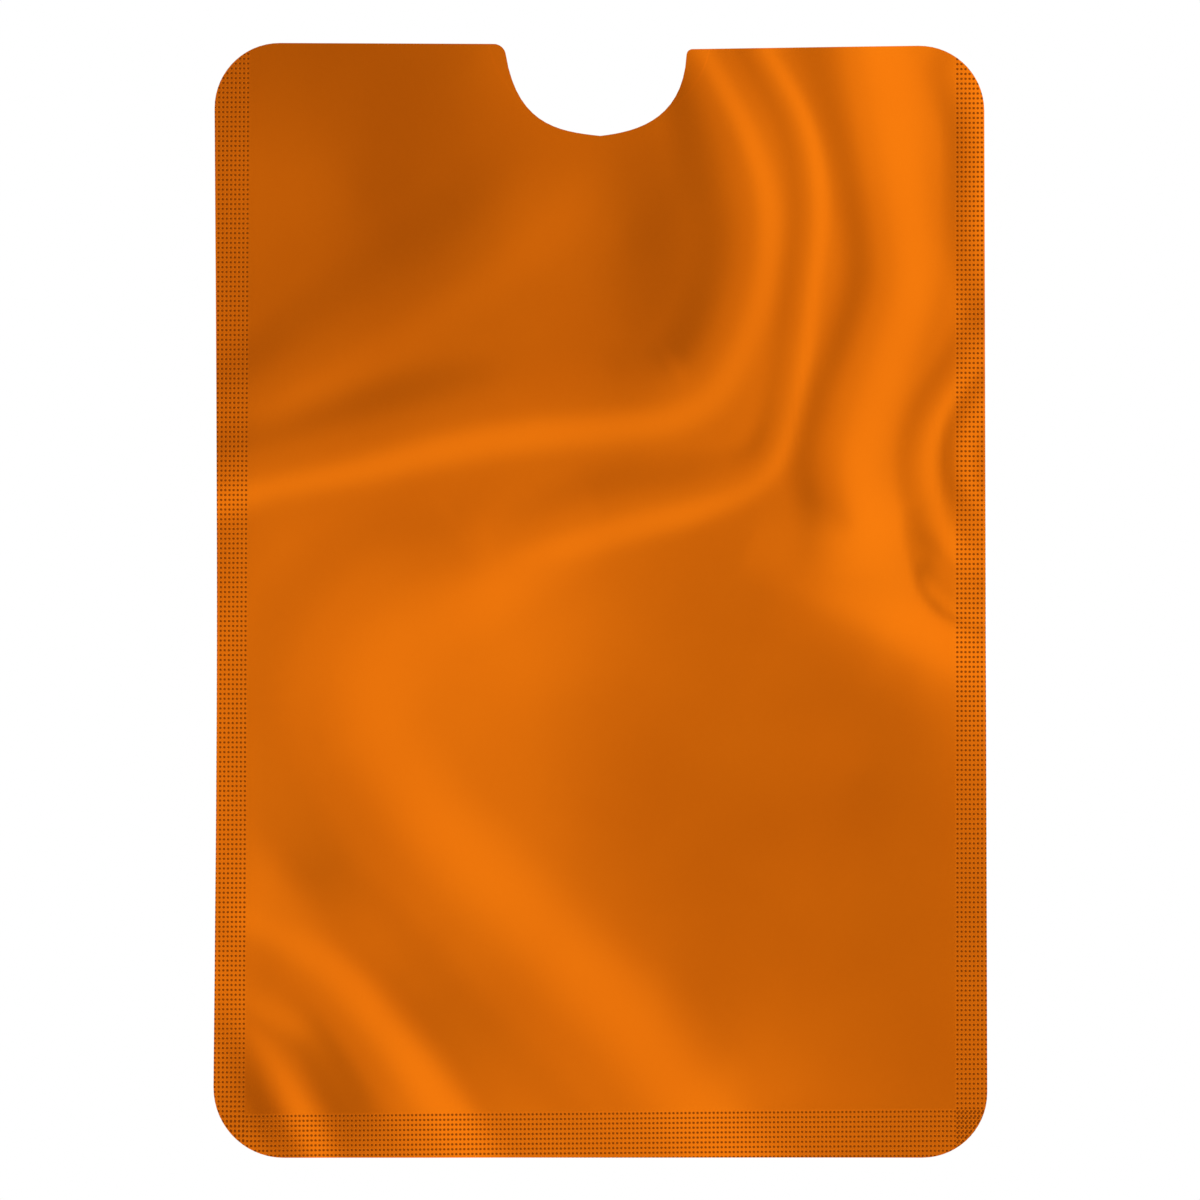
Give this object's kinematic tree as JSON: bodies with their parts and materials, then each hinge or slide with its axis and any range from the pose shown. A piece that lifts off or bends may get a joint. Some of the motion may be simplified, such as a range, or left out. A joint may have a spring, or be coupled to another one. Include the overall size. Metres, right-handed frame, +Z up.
{
  "type": "phone card sleeve",
  "caption": "Flat orange foil card pocket with a thumb notch, welded on three sides, with an adhesive back and release liner for a phone.",
  "frame": {"origin": "middle of the adhesive face that is pressed onto the phone", "axes": "+Z up to the mouth, +X to the right seen from the front, +Y from the front wall back to the phone"},
  "size_m": [0.0629, 0.0023, 0.0907],
  "materials": {
    "tinted_film": "satin metallised orange",
    "bare_foil": "bright",
    "sealing_film": "milky",
    "fused_film": "pressed",
    "adhesive": "tacky",
    "liner": "silicone coated"
  },
  "bodies": {
    "sleeve": {"front_outer_film": "tinted_film", "front_foil": "bare_foil", "front_inner_film": "sealing_film", "rear_inner_film": "sealing_film", "rear_foil": "bare_foil", "rear_outer_film": "tinted_film", "left_weld": "fused_film", "right_weld": "fused_film", "foot_weld": "fused_film", "adhesive_pad": "adhesive"},
    "liner": {"release_liner": "liner"}
  },
  "joints": [
    {"name": "liner_peel", "type": "hinge", "parent": "sleeve", "child": "liner", "pos_m": [-0.025, 0.0003, 0], "axis": [0, 0, 1], "range_deg": [0, 150]}
  ]
}
